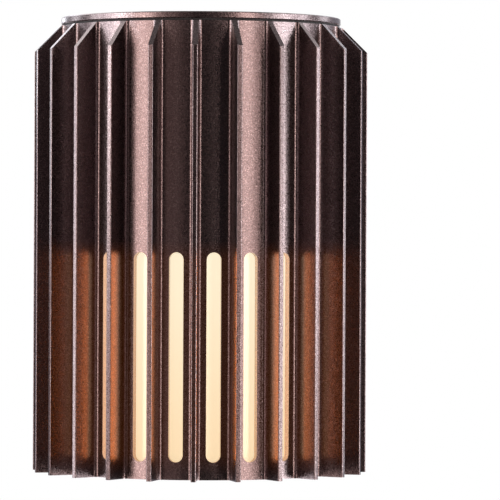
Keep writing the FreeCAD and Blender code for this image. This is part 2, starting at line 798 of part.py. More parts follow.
def block_screw():
    """The screw that holds the block to the tray."""
    body = new_body("block_screw")
    turned(body, "screw", [
        ("0", "tray_level - block_screw_grip"),
        ("block_screw_radius", "tray_level - block_screw_grip"),
        ("block_screw_radius", "tray_top + block_height"),
        ("block_screw_head_radius", "tray_top + block_height"),
        ("block_screw_head_radius", "tray_top + block_height + block_screw_head_height"),
        ("0", "tray_top + block_height + block_screw_head_height"),
    ])
    return place(body, "-pole_pitch / 2", "clamp_middle")


def earth_lug():
    """The crimped ring terminal of the earth lead."""
    body = new_body("earth_lug")
    eye = new_sketch(body, "eye", lift="tray_top")
    circle(eye, "lug_radius")
    circle(eye, "screw_hole_radius")
    pad(body, "eye_plate", eye, "lug_thickness")
    barrel = new_sketch(body, "barrel", "YZ_Plane", lift="-lug_radius + lug_thickness")
    circle(barrel, "lug_barrel_radius", y="lug_axis")
    pad(body, "barrel_pad", barrel, "lug_barrel_length", backward=True)
    mouth = new_sketch(body, "mouth", "YZ_Plane", lift="-lug_radius - lug_barrel_length")
    circle(mouth, "lead_radius + running_gap", y="lug_axis")
    pocket(body, "barrel_bore", mouth, "lug_barrel_length", backward=True)
    return place(body, "earth_x", "earth_y")


def earth_screw():
    """The earth screw, head up on the lug."""
    body = new_body("earth_screw")
    turned(body, "screw", [
        ("0", "lug_top - earth_screw_length"),
        ("screw_radius", "lug_top - earth_screw_length"),
        ("screw_radius", "lug_top"),
        ("pan_head_radius - screw_radius / 4", "lug_top"),
        ("pan_head_radius - screw_radius / 4", "lug_top + pan_head_height / 2"),
        ("pan_head_radius - screw_radius / 2", "lug_top + pan_head_height"),
        ("0", "lug_top + pan_head_height"),
    ])
    return place(body, "earth_x", "earth_y")


def earth_nut():
    """The nut under the tray that holds the earth screw."""
    body = new_body("earth_nut")
    flats = new_sketch(body, "flats", lift="tray_level - earth_nut_height")
    hexagon(flats, "earth_nut_radius")
    circle(flats, "screw_radius + running_gap")
    pad(body, "nut", flats, "earth_nut_height")
    return place(body, "earth_x", "earth_y")


def wall_bracket():
    """The steel plate on the wall, with fixing slots and two forward flanges."""
    body = new_body("wall_bracket")
    plate = new_sketch(body, "plate", "XZ_Plane", lift="-axis_depth")
    rounded_rectangle(plate, "bracket_half", "box_floor + box_wall + bracket_gap",
                      "box_roof - box_wall - bracket_gap", "bracket_corner")
    circle(plate, "grommet_neck_radius + loose_gap", y="cable_height")
    for across in ("-", "+"):
        for up in ("-", "+"):
            middle = f"{across}fixing_spacing_x / 2"
            run = "(fixing_slot_length / 2 - fixing_slot_radius)"
            long_slot(plate, "fixing_slot_radius", f"{middle} - {run}", f"{middle} + {run}",
                      f"mount_height {up} fixing_spacing_z / 2", upright=False)
    pad(body, "plate_pad", plate, "bracket_thickness")
    for name, inner, outer in (("left", "-bracket_half", "-bracket_half + bracket_thickness"),
                               ("right", "bracket_half - bracket_thickness", "bracket_half")):
        flange = outline(new_sketch(body, f"{name}_flange", "XZ_Plane", lift="-axis_depth"), [
            (inner, "mount_height - flange_height / 2"),
            (outer, "mount_height - flange_height / 2"),
            (outer, "mount_height + flange_height / 2"),
            (inner, "mount_height + flange_height / 2"),
        ])
        pad(body, f"{name}_flange_pad", flange, "bracket_thickness + flange_reach")
    hole = circle(new_sketch(body, "lock_hole", "YZ_Plane"), "screw_radius + running_gap",
                  x="lock_depth", y="mount_height")
    pocket(body, "lock_holes", hole, "box_width", both=True)
    return place(body)


def wall_gasket():
    """The foam ring between the box's rim and the wall."""
    body = new_body("wall_gasket")
    ring = new_sketch(body, "ring", "XZ_Plane", lift="-axis_depth")
    rounded_rectangle(ring, "box_half", "box_floor", "box_roof", "box_corner")
    rounded_rectangle(ring, "(box_half - box_wall)", "box_floor + box_wall", "box_roof - box_wall",
                      "(box_corner - box_wall)")
    pad(body, "ring_pad", ring, "wall_gasket_thickness")
    return place(body)


def cable_grommet():
    """The rubber bush in the bracket that the mains cable passes through."""
    body = new_body("cable_grommet")
    turned(body, "bush", [
        ("cable_radius", "0"),
        ("grommet_neck_radius", "0"),
        ("grommet_neck_radius", "bracket_thickness"),
        ("grommet_flange_radius", "bracket_thickness"),
        ("grommet_flange_radius", "bracket_thickness + grommet_flange_thickness / 2"),
        ("grommet_neck_radius", "bracket_thickness + grommet_flange_thickness"),
        ("cable_radius", "bracket_thickness + grommet_flange_thickness"),
    ])
    return place(body, "0", "axis_depth", "cable_height", Rotation(Vector(1, 0, 0), 90))


def lock_pieces(side, sign, quarter):
    """A lock screw and its washer, drawn about their own axis and laid along X."""
    washer = new_body(f"lock_washer_{side}")
    turned(washer, "disc", [
        ("screw_radius + loose_gap", "0"),
        ("washer_radius", "0"),
        ("washer_radius", "washer_thickness"),
        ("screw_radius + loose_gap", "washer_thickness"),
    ])
    screw = new_body(f"lock_screw_{side}")
    turned(screw, "shank_and_head", [
        ("0", "washer_thickness - lock_screw_length"),
        ("screw_radius", "washer_thickness - lock_screw_length"),
        ("screw_radius", "washer_thickness"),
        ("pan_head_radius", "washer_thickness"),
        ("pan_head_radius", "washer_thickness + pan_head_height / 2"),
        ("pan_head_radius - screw_radius / 2", "washer_thickness + pan_head_height"),
        ("0", "washer_thickness + pan_head_height"),
    ])
    socket = new_sketch(screw, "socket", lift="washer_thickness + pan_head_height")
    hexagon(socket, "socket_radius")
    pocket(screw, "socket_cut", socket, "socket_depth")
    laid = Rotation(Vector(0, 1, 0), quarter)
    for piece in (washer, screw):
        place(piece, f"{sign}box_half", "lock_depth", "mount_height", laid)
    return [washer, screw]


def cover_ring():
    """The screw-in ring that carries the diffuser, with a seal groove and spanner holes."""
    body = new_body("cover_ring")
    turned(body, "ring", [
        ("cover_lip_radius", "cover_recess"),
        ("cover_radius", "cover_recess"),
        ("cover_radius", "seal_level - groove_half"),
        ("groove_floor", "seal_level - groove_half"),
        ("groove_floor", "seal_level + groove_half"),
        ("cover_radius", "seal_level + groove_half"),
        ("cover_radius", "cover_top"),
        ("diffuser_radius + diffuser_fit", "cover_top"),
        ("diffuser_radius + diffuser_fit", "cover_recess + cover_lip"),
        ("cover_lip_radius", "cover_recess + cover_lip"),
    ])
    hole = circle(new_sketch(body, "spanner_hole", lift="cover_recess"), "spanner_hole_radius",
                  y="-(cover_lip_radius + cover_radius) / 2")
    first_hole = pocket(body, "first_spanner_hole", hole, "spanner_hole_depth", backward=True)
    around(body, "spanner_holes", [first_hole], "spanner_hole_count")
    return place(body)


def cover_seal():
    """The seal in the cover's groove, moulded square with bevelled corners."""
    body = new_body("cover_seal")
    inside = "seal_middle - seal_radius"
    outside = "seal_middle + seal_radius"
    bottom = "seal_level - seal_radius"
    top = "seal_level + seal_radius"
    turned(body, "cord", [
        ("seal_middle - seal_flat", bottom),
        ("seal_middle + seal_flat", bottom),
        (outside, "seal_level - seal_flat"),
        (outside, "seal_level + seal_flat"),
        ("seal_middle + seal_flat", top),
        ("seal_middle - seal_flat", top),
        (inside, "seal_level + seal_flat"),
        (inside, "seal_level - seal_flat"),
    ])
    return place(body)


def diffuser_cup():
    """The opal cup behind the slots, closed below."""
    body = new_body("diffuser_cup")
    inside = "(diffuser_radius - diffuser_wall)"
    inner_corner = "(diffuser_corner - diffuser_wall / 2)"
    floor = "(diffuser_bottom + diffuser_wall)"
    turned(body, "cup", [
        ("0", "diffuser_bottom"),
        ("diffuser_radius - diffuser_corner", "diffuser_bottom",
         "diffuser_radius - diffuser_corner", "diffuser_bottom + diffuser_corner"),
        ("diffuser_radius", "diffuser_bottom + diffuser_corner"),
        ("diffuser_radius", "diffuser_top"),
        (inside, "diffuser_top"),
        (inside, f"{floor} + {inner_corner}", f"{inside} - {inner_corner}", f"{floor} + {inner_corner}"),
        (f"{inside} - {inner_corner}", floor),
        ("0", floor),
    ])
    return place(body)


def lamp_globe():
    """The lamp's opal bulb."""
    body = new_body("lamp_globe")
    turned(body, "globe", [
        ("0", "lamp_bottom", "0", "globe_middle"),
        ("globe_radius", "globe_middle", "0", "globe_middle"),
        ("globe_rim_radius", "globe_rim"),
        ("globe_rim_inside", "globe_rim", "0", "globe_middle"),
        ("globe_inside", "globe_middle", "0", "globe_middle"),
        ("0", "lamp_bottom + globe_wall"),
    ])
    return place(body)


def lamp_body():
    """The lamp's white case between globe and base."""
    body = new_body("lamp_body")
    turned(body, "case", [
        ("globe_rim_inside - 2 * lamp_wall", "globe_rim"),
        ("globe_rim_radius", "globe_rim"),
        ("lamp_neck_radius", "lamp_neck"),
        ("lamp_collar_radius", "base_bottom"),
        ("base_radius - base_wall - loose_gap", "base_bottom"),
        ("lamp_neck_radius - lamp_wall", "lamp_neck"),
        ("globe_rim_radius - 2 * lamp_wall", "globe_rim + lamp_wall"),
        ("globe_rim_inside - 2 * lamp_wall", "globe_rim + lamp_wall"),
    ])
    return place(body)


def led_board():
    """The round board under the case's rim."""
    body = new_body("led_board")
    disc = circle(new_sketch(body, "disc", lift="globe_rim - board_thickness"), "board_radius")
    pad(body, "disc_pad", disc, "board_thickness")
    return place(body)


def led_chips():
    """The ring of light emitters under the board."""
    body = new_body("led_chips")
    chip = outline(new_sketch(body, "chip", lift="globe_rim - board_thickness"), [
        ("-led_size / 2", "-led_ring - led_size / 2"),
        ("led_size / 2", "-led_ring - led_size / 2"),
        ("led_size / 2", "-led_ring + led_size / 2"),
        ("-led_size / 2", "-led_ring + led_size / 2"),
    ])
    first_chip = pad(body, "first_chip", chip, "led_height", backward=True)
    around(body, "chips", [first_chip], "led_count")
    return place(body)


def driver_board():
    """The upright board inside the lamp's case."""
    body = new_body("driver_board")
    edge = outline(new_sketch(body, "edge", lift="globe_rim"), [
        ("-driver_width / 2", "-driver_thickness / 2"),
        ("driver_width / 2", "-driver_thickness / 2"),
        ("driver_width / 2", "driver_thickness / 2"),
        ("-driver_width / 2", "driver_thickness / 2"),
    ])
    pad(body, "board", edge, "driver_height")
    return place(body)


def lamp_base_shell():
    """The lamp's metal screw base."""
    body = new_body("lamp_base_shell")
    turned(body, "shell", [
        ("base_radius - base_wall", "base_bottom"),
        ("base_radius", "base_bottom"),
        ("base_radius", "base_top - base_wall"),
        ("base_radius - base_wall", "base_top"),
        ("insulator_radius - insulator_height", "base_top"),
        ("insulator_radius - insulator_height", "base_top - base_wall"),
        ("base_radius - base_wall", "base_top - base_wall"),
    ])
    return place(body)


def lamp_insulator():
    """The dark disc between the base's shell and its centre contact."""
    body = new_body("lamp_insulator")
    turned(body, "disc", [
        ("0", "base_top"),
        ("insulator_radius", "base_top"),
        ("button_radius + insulator_height / 2", "insulator_top"),
        ("0", "insulator_top"),
    ])
    return place(body)


def lamp_contact_button():
    """The lamp's centre contact."""
    body = new_body("lamp_contact_button")
    turned(body, "button", [
        ("0", "insulator_top"),
        ("button_radius", "insulator_top"),
        ("button_radius", "lamp_top - button_crown"),
        ("button_radius - button_crown", "lamp_top"),
        ("0", "lamp_top"),
    ])
    return place(body)


def rounded_path(points):
    """Straight runs joined by tangent arcs, each as large as its two runs allow."""
    share_of_run = 0.45
    edges = []
    radii = []
    start = points[0]
    for before, corner, after in zip(points, points[1:], points[2:]):
        into = (corner - before).normalize()
        away = (after - corner).normalize()
        half_turn = into.getAngle(away) / 2
        reach = share_of_run * min((corner - before).Length, (after - corner).Length)
        radius = reach / math.tan(half_turn)
        first = corner - into * reach
        last = corner + away * reach
        middle = corner + (away - into).normalize() * (radius / math.cos(half_turn) - radius)
        edges.append(Part.LineSegment(start, first).toShape())
        edges.append(Part.Arc(first, middle, last).toShape())
        radii.append(radius)
        start = last
    edges.append(Part.LineSegment(start, points[-1]).toShape())
    return Part.Wire(edges), radii


def lead(label, route):
    """An insulated lead along its route, with its section kept round."""
    points = [Vector(value(x), value(y), value(z)) for x, y, z in route]
    path, radii = rounded_path(points)
    radius = value("lead_radius")
    start = Part.Wire(Part.makeCircle(radius, points[0], points[1] - points[0]))
    shape = path.makePipeShell([start], True, False)
    piece = doc.addObject("Part::Feature", label)
    piece.Label = label
    piece.Shape = shape
    section = Part.Face(start).Area
    print(f"{label}: length {path.Length:.1f}, least radius {min(radii):.1f}, "
          f"volume {shape.Volume:.1f} of {section * path.Length:.1f}")
    return place(piece)


def leads():
    """Live and neutral leads from the block down the nipple, and the earth lead."""
    # shares of the pole pitch, of the way to the block and of the arch's height
    arch_shares = [(0.45, 0.33, 1.0), (0.85, 0.65, 0.73)]
    port_share = 0.87
    riser_share = 0.67
    pieces = []
    for label, sign in (("live_lead", "-"), ("neutral_lead", "")):
        route = [
            (f"{sign}lead_offset", "0", "holder_split + insert_rise"),
            (f"{sign}lead_offset", "0", f"tray_top + lead_arch * {riser_share}"),
        ]
        for across, along, up in arch_shares:
            route.append((f"{sign}pole_pitch * {across}", f"block_front * {along}",
                          f"tray_top + lead_arch * {up}"))
        route.append((f"{sign}pole_pitch", f"block_front * {port_share}", "pole_height"))
        route.append((f"{sign}pole_pitch", "block_front + block_depth / 4", "pole_height"))
        pieces.append(lead(label, route))
    # shares of the way from the lug to the drum's middle and from the lug to the block
    bend_shares = (0.33, 0.91, 0.27, 0.72)
    first_share, second_share, rise_share, port_share = bend_shares
    pieces.append(lead("earth_lead", [
        ("earth_x - 2 * lug_radius", "earth_y", "lug_axis"),
        (f"(earth_x - 2 * lug_radius) * (1 - {first_share})", "earth_y", "lug_axis"),
        (f"(earth_x - 2 * lug_radius) * (1 - {second_share})",
         f"earth_y + (block_front - earth_y) * {rise_share}", "pole_height"),
        ("0", f"earth_y + (block_front - earth_y) * {port_share}", "pole_height"),
        ("0", "block_front + block_depth / 4", "pole_height"),
    ]))
    return pieces


def all_pieces():
    pieces = [
        finned_housing(), top_cap(), cap_gasket(), cap_screws(), lamp_tray(), tray_screws(),
        lampholder_skirt(), lampholder_dome(), lampholder_insert(), lampholder_sleeve(),
        centre_contact(), holder_nipple(), nipple_nut(), terminal_block(), terminal_clamps(),
        terminal_screws(), block_screw(), earth_lug(), earth_screw(), earth_nut(),
        wall_bracket(), wall_gasket(), cable_grommet(), cover_ring(), cover_seal(),
        ring_piece("diffuser_gasket", "cover_lip_radius + cover_lip",
                   "diffuser_radius - diffuser_corner", "cover_recess + cover_lip",
                   "diffuser_gasket_thickness"),
        diffuser_cup(), lamp_globe(), lamp_body(), led_board(), led_chips(), driver_board(),
        lamp_base_shell(), lamp_insulator(), lamp_contact_button(),
    ]
    pieces += lock_pieces("left", "-", -90)
    pieces += lock_pieces("right", "", 90)
    pieces += leads()
    return pieces


pieces = all_pieces()
doc.recompute()
for item in doc.Objects:
    if "Invalid" in item.State or "Error" in item.State:
        raise RuntimeError(f"{item.Label} failed: {item.State}")
    if item.isDerivedFrom("Sketcher::SketchObject") and not item.FullyConstrained:
        raise RuntimeError(f"{item.getParent().Label} {item.Label} is not fully constrained")
for piece in pieces:
    if piece.Shape.isNull() or not piece.Shape.isValid() or not piece.Shape.Solids:
        raise RuntimeError(f"{piece.Label} has no valid solid")

os.makedirs("parts", exist_ok=True)
for piece in pieces:
    piece.Shape.exportStep(f"parts/{piece.Label}.step")
    box = piece.Shape.BoundBox
    print(f"{piece.Label}: {len(piece.Shape.Solids)} solids, {piece.Shape.Volume:.0f} mm3, "
          f"x {box.XMin:.1f} {box.XMax:.1f}, y {box.YMin:.1f} {box.YMax:.1f}, "
          f"z {box.ZMin:.1f} {box.ZMax:.1f}")
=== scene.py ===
import json
import math
import bpy
from mathutils import Matrix, Vector

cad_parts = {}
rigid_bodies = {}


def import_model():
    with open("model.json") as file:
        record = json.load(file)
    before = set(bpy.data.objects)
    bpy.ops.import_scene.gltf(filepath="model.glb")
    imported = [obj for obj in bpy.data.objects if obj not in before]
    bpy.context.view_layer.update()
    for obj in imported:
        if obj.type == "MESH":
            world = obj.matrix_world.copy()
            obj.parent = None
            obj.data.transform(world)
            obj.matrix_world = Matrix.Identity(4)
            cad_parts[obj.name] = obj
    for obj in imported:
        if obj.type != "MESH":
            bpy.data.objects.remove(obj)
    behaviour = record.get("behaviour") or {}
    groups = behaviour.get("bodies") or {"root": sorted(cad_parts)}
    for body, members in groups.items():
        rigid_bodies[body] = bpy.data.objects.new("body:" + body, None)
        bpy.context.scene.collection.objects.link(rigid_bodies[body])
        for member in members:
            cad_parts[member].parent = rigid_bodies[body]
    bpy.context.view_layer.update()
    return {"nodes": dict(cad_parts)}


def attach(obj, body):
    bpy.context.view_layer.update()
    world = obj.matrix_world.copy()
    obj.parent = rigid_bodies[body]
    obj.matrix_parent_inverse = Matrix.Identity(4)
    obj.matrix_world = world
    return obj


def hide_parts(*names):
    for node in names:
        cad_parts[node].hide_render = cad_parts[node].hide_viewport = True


for leftover in list(bpy.data.objects):
    bpy.data.objects.remove(leftover)
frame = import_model()
nodes = frame["nodes"]
print("frame loaded:", len(nodes), "nodes")

mm = 0.001
mmPerMetre = 1000
# The drum's upright axis, 92 mm in front of the wall.
drumAxis = Vector((0, -92 * mm, 0))

# Sockets of a Mix node in its colour mode, and the values between which nearly all of a noise lies.
mixFactor, mixFirst, mixSecond, mixResult = 0, 6, 7, 2
noise = {"low": 0.3, "high": 0.7, "detail": 3.0}


def hexColour(text):
    # the linear colour of an sRGB hex value
    parts = [int(text[i:i + 2], 16) / 255 for i in (1, 3, 5)]
    return [p / 12.92 if p <= 0.04045 else ((p + 0.055) / 1.055) ** 2.4 for p in parts] + [1.0]


def addNode(tree, kind, sockets=None, **settings):
    node = tree.nodes.new(kind)
    for name, setting in settings.items():
        setattr(node, name, setting)
    for name, given in (sockets or {}).items():
        if isinstance(given, bpy.types.NodeSocket):
            tree.links.new(given, node.inputs[name])
        else:
            node.inputs[name].default_value = given
    return node


def newFinish(name, **shaderSockets):
    # a material with one Principled shader, whose constants are set on its own sockets
    material = bpy.data.materials.new(name)
    material.use_nodes = True
    tree = material.node_tree
    tree.nodes.clear()
    constants = {socket.replace("_", " "): constant for socket, constant in shaderSockets.items()}
    shader = addNode(tree, "ShaderNodeBsdfPrincipled", constants)
    addNode(tree, "ShaderNodeOutputMaterial", {"Surface": shader.outputs["BSDF"]})
    place = addNode(tree, "ShaderNodeTexCoord").outputs["Object"]
    return material, tree, shader, place


def grainOn(tree, shader, place, dark, light, grainMm, roughness, reliefMm, stretch=(1, 1, 1)):
    # a noise of a real grain size drives colour, roughness and relief together; the colour comes back
    spread = addNode(tree, "ShaderNodeMapping", {"Vector": place, "Scale": stretch}).outputs["Vector"]
    grain = addNode(tree, "ShaderNodeTexNoise", {"Vector": spread, "Scale": mmPerMetre / grainMm,
                                                 "Detail": noise["detail"]}).outputs["Fac"]
    tint = addNode(tree, "ShaderNodeMix", {mixFactor: grain, mixFirst: hexColour(dark),
                                           mixSecond: hexColour(light)}, data_type="RGBA").outputs[mixResult]
    rough = addNode(tree, "ShaderNodeMapRange", {
        "Value": grain, "From Min": noise["low"], "From Max": noise["high"],
        "To Min": roughness[0], "To Max": roughness[1]})
    relief = addNode(tree, "ShaderNodeBump", {"Height": grain, "Distance": reliefMm * mm, "Strength": 1.0})
    tree.links.new(tint, shader.inputs["Base Color"])
    tree.links.new(rough.outputs["Result"], shader.inputs["Roughness"])
    tree.links.new(relief.outputs["Normal"], shader.inputs["Normal"])
    return tint


finishes = {}

# Powder coat on cast aluminium: polyester with metal flake, baked over a blasted casting.
# It reads as a dark rosy bronze with a fine sandy grain and flakes that catch the light.
# Lengths are in mm. Grain and flakes are drawn several times coarser than the real ones, to show.
powderCoat = {
    "dark": "#554747", "light": "#766463", "metallic": 0.98, "roughness": (0.23, 0.35),
    "coat": 0.5, "coatRoughness": 0.22, "grain": 0.65, "relief": 0.045,
    "flake": "#CBB8B6", "flakeSize": 0.4, "flakeShare": 0.4, "flakeStrength": 0.28,
    # a pale warm colour painted on the slots' own walls, standing in for the lamp's light on them
    "litSlotWall": "#BFA294", "midWall": 71.2, "halfWall": 1.65,
    "slotMiddle": -63.2, "slotReach": 53.8, "slotFront": 10,
    # the coat's emission colour and its reach: a faint warm glow painted near the slots
    "paintedGlow": "#FF8200", "paintedGlowStrength": 0.02, "paintedGlowFade": 5.0, "paintedGlowFront": (15, 40)}
# The coat's emission colour is the warm glow painted near the slots, set further down.
material, tree, shader, place = newFinish(
    "powder_coat_rosy_bronze", Metallic=powderCoat["metallic"], Coat_Weight=powderCoat["coat"],
    Coat_Roughness=powderCoat["coatRoughness"], Emission_Color=hexColour(powderCoat["paintedGlow"]))
tint = grainOn(tree, shader, place, powderCoat["dark"], powderCoat["light"], powderCoat["grain"],
               powderCoat["roughness"], powderCoat["relief"])
flakes = addNode(tree, "ShaderNodeTexVoronoi", {"Vector": place, "Scale": mmPerMetre / powderCoat["flakeSize"]})
flakeTone = addNode(tree, "ShaderNodeSeparateColor", {"Color": flakes.outputs["Color"]}).outputs["Red"]
flakeMask = addNode(tree, "ShaderNodeMapRange", {
    "Value": flakeTone, "From Min": 1 - powderCoat["flakeShare"], "From Max": 1.0,
    "To Min": 0.0, "To Max": powderCoat["flakeStrength"]}).outputs["Result"]
withFlakes = addNode(tree, "ShaderNodeMix", {
    mixFactor: flakeMask, mixFirst: tint, mixSecond: hexColour(powderCoat["flake"])},
    data_type="RGBA").outputs[mixResult]

# The slots' own walls carry painted light: a pale warm colour stands in for the lamp's light falling on them,
# on all that lies within the wall's thickness, at the slots' height and in front of the axis.
fromAxis = addNode(tree, "ShaderNodeVectorMath", {0: place, 1: drumAxis}, operation="SUBTRACT").outputs[0]
inPlan = addNode(tree, "ShaderNodeVectorMath", {0: fromAxis, 1: (1, 1, 0)}, operation="MULTIPLY").outputs[0]
planRadius = addNode(tree, "ShaderNodeVectorMath", {0: inPlan}, operation="LENGTH").outputs["Value"]
insideWall = addNode(tree, "ShaderNodeMath", {
    0: planRadius, 1: powderCoat["midWall"] * mm, 2: powderCoat["halfWall"] * mm},
    operation="COMPARE").outputs[0]
axisOffset = addNode(tree, "ShaderNodeSeparateXYZ", {"Vector": fromAxis}).outputs
atSlots = addNode(tree, "ShaderNodeMath", {
    0: axisOffset["Z"], 1: powderCoat["slotMiddle"] * mm, 2: powderCoat["slotReach"] * mm},
    operation="COMPARE").outputs[0]
inFront = addNode(tree, "ShaderNodeMath", {0: axisOffset["Y"], 1: -powderCoat["slotFront"] * mm},
                  operation="LESS_THAN").outputs[0]
slotWalls = addNode(tree, "ShaderNodeMath", {0: atSlots, 1: inFront}, operation="MULTIPLY").outputs[0]
litSlotWallMask = addNode(tree, "ShaderNodeMath", {0: slotWalls, 1: insideWall}, operation="MULTIPLY").outputs[0]
coatOrLitWall = addNode(tree, "ShaderNodeMix", {
    mixFactor: litSlotWallMask, mixFirst: withFlakes, mixSecond: hexColour(powderCoat["litSlotWall"])},
    data_type="RGBA").outputs[mixResult]
tree.links.new(coatOrLitWall, shader.inputs["Base Color"])

# The fins throw the slots' light to and fro between them; a faint warm glow painted on the coat there as emission
# stands in for that light.
fromMiddle = addNode(tree, "ShaderNodeMath", {0: axisOffset["Z"], 1: -powderCoat["slotMiddle"] * mm},
                     operation="ADD").outputs[0]
awayFromSlots = addNode(tree, "ShaderNodeMath", {0: fromMiddle}, operation="ABSOLUTE").outputs[0]
paintedGlowHeight = addNode(tree, "ShaderNodeMapRange", {
    "Value": awayFromSlots, "From Min": (powderCoat["slotReach"] + powderCoat["paintedGlowFade"]) * mm,
    "From Max": (powderCoat["slotReach"] - powderCoat["paintedGlowFade"]) * mm}).outputs["Result"]
paintedGlowFront = addNode(tree, "ShaderNodeMapRange", {
    "Value": axisOffset["Y"], "From Min": -powderCoat["paintedGlowFront"][0] * mm,
    "From Max": -powderCoat["paintedGlowFront"][1] * mm}).outputs["Result"]
paintedGlowShare = addNode(tree, "ShaderNodeMath", {0: paintedGlowHeight, 1: paintedGlowFront}, operation="MULTIPLY").outputs[0]
paintedGlow = addNode(tree, "ShaderNodeMath", {0: paintedGlowShare, 1: powderCoat["paintedGlowStrength"]},
               operation="MULTIPLY").outputs[0]
tree.links.new(paintedGlow, shader.inputs["Emission Strength"])
finishes["powder_coat"] = material

# Opal acrylic, moulded and lit from inside by the lamp: an even warm glow, deeper towards the foot.
# Heights and the clouds' size are in mm.
opalCup = {"top": "#FFF3D4", "foot": "#FDE3B8", "glow": 0.87, "topHeight": -8, "footHeight": -118,
           "sheet": "#F4E8D0", "sheetCloud": "#FBF3E2", "cloudSize": 38, "cloudDetail": 1.0,
           "roughness": 0.5, "specular": 0.3}
material, tree, shader, place = newFinish(
    "opal_acrylic_lit", Roughness=opalCup["roughness"], Specular_IOR_Level=opalCup["specular"],
    Emission_Strength=opalCup["glow"])
height = addNode(tree, "ShaderNodeSeparateXYZ", {"Vector": place}).outputs["Z"]
fall = addNode(tree, "ShaderNodeMapRange", {
    "Value": height, "From Min": opalCup["footHeight"] * mm, "From Max": opalCup["topHeight"] * mm},
    interpolation_type="SMOOTHSTEP").outputs["Result"]
cloud = addNode(tree, "ShaderNodeTexNoise", {"Vector": place, "Scale": mmPerMetre / opalCup["cloudSize"],
                                             "Detail": opalCup["cloudDetail"]}).outputs["Fac"]
warm = addNode(tree, "ShaderNodeMix", {
    mixFactor: fall, mixFirst: hexColour(opalCup["foot"]), mixSecond: hexColour(opalCup["top"])},
    data_type="RGBA").outputs[mixResult]
sheet = addNode(tree, "ShaderNodeMix", {
    mixFactor: cloud, mixFirst: hexColour(opalCup["sheet"]), mixSecond: hexColour(opalCup["sheetCloud"])},
    data_type="RGBA").outputs[mixResult]
tree.links.new(sheet, shader.inputs["Base Color"])
tree.links.new(warm, shader.inputs["Emission Color"])
finishes["opal"] = material

# Bulb globe: moulded opal polycarbonate, a soft even white when lit.
bulbGlobe = {"dark": "#F4F1E8", "light": "#FCFAF4", "grain": 9.0, "relief": 0.01, "roughness": (0.3, 0.38),
             "lit": "#FFEBC8", "glow": 0.9}
material, tree, shader, place = newFinish(
    "bulb_globe_lit", Emission_Strength=bulbGlobe["glow"], Emission_Color=hexColour(bulbGlobe["lit"]))
grainOn(tree, shader, place, bulbGlobe["dark"], bulbGlobe["light"], bulbGlobe["grain"],
        bulbGlobe["roughness"], bulbGlobe["relief"])
finishes["bulb_opal"] = material

# Plain finishes: each row is name, colour pair, grain in mm, roughness pair, relief in mm, metallic
# and the grain's stretch. Fine grains are drawn coarser than the real ones, to show.
evenGrain, tallGrain, flatGrain = (1, 1, 1), (1, 1, 0.5), (1, 1, 3)
plainFinishes = {
    # zinc plated sheet: dull grey with faint upright streaks of the passivating bath
    "zinc_steel": ("zinc_plated_steel", "#A4A7A9", "#BABCBE", 1.2, (0.3, 0.44), 0.003, 1.0, tallGrain),
    # turned stainless: clean grey, with the fine level marks of the tool
    "stainless": ("turned_stainless_steel", "#A9A8A5", "#C9C8C5", 0.35, (0.2, 0.34), 0.01, 1.0, flatGrain),
    # baked white enamel: wet gloss with a slight orange peel
    "white_paint": ("white_baked_enamel", "#E6E5DF", "#EDECE7", 1.6, (0.16, 0.24), 0.012, 0.0, evenGrain),
    # EPDM rubber and closed cell foam: dusty matt black, fine pores
    "black_rubber": ("black_epdm_rubber", "#151211", "#231E1D", 0.6, (0.7, 0.9), 0.05, 0.0, evenGrain),
    # moulded silicone: soft grey, slight bloom
    "grey_silicone": ("grey_silicone", "#8E8F8F", "#A2A3A2", 1.2, (0.45, 0.6), 0.01, 0.0, evenGrain),
    # glass filled polyester moulding: black with a spark eroded skin
    "black_plastic": ("black_glass_filled_pbt", "#1F2021", "#2E2F30", 0.5, (0.38, 0.55), 0.02, 0.0, evenGrain),
    # polycarbonate moulding: satin white
    "white_plastic": ("white_polycarbonate", "#E2E1DC", "#ECEBE7", 0.7, (0.34, 0.46), 0.012, 0.0, evenGrain),
    # glazed steatite: off white, glassy, faintly speckled
    "porcelain": ("glazed_steatite", "#E0DCCF", "#EFECE3", 0.9, (0.08, 0.2), 0.01, 0.0, evenGrain),
    # drawn and pressed brass: yellow with a brown breath of tarnish
    "brass": ("pressed_brass", "#A98642", "#D2B068", 1.8, (0.2, 0.36), 0.01, 1.0, evenGrain),
    # nickel plate: bright, slightly yellow silver
    "nickel": ("nickel_plated_brass", "#B2AFA8", "#CBC8C0", 1.4, (0.14, 0.26), 0.008, 1.0, evenGrain),
    # printed solder mask over an aluminium core: satin white, faintly mottled
    "board": ("white_solder_mask", "#DDE2DF", "#EBEEEC", 0.8, (0.3, 0.42), 0.01, 0.0, evenGrain),
    # phosphor cast in silicone: lemon yellow jelly
    "phosphor": ("led_phosphor", "#E8C53A", "#F5DC64", 0.4, (0.2, 0.32), 0.01, 0.0, evenGrain),
    # silicone extruded on wire: waxy, slight dust
    "brown_lead": ("brown_silicone_sleeve", "#4E2E1C", "#5F3A25", 0.9, (0.4, 0.52), 0.01, 0.0, evenGrain),
    "blue_lead": ("blue_silicone_sleeve", "#1C4397", "#2855B0", 0.9, (0.4, 0.52), 0.01, 0.0, evenGrain),
    # tin plated copper: pale, soft metal
    "tinned_copper": ("tinned_copper", "#B5B1AA", "#CFCBC4", 0.7, (0.3, 0.44), 0.012, 1.0, evenGrain),
}
for slot, (name, dark, light, grainMm, roughness, reliefMm, metallic, stretch) in plainFinishes.items():
    material, tree, shader, place = newFinish(name, Metallic=metallic)
    grainOn(tree, shader, place, dark, light, grainMm, roughness, reliefMm, stretch)
    finishes[slot] = material

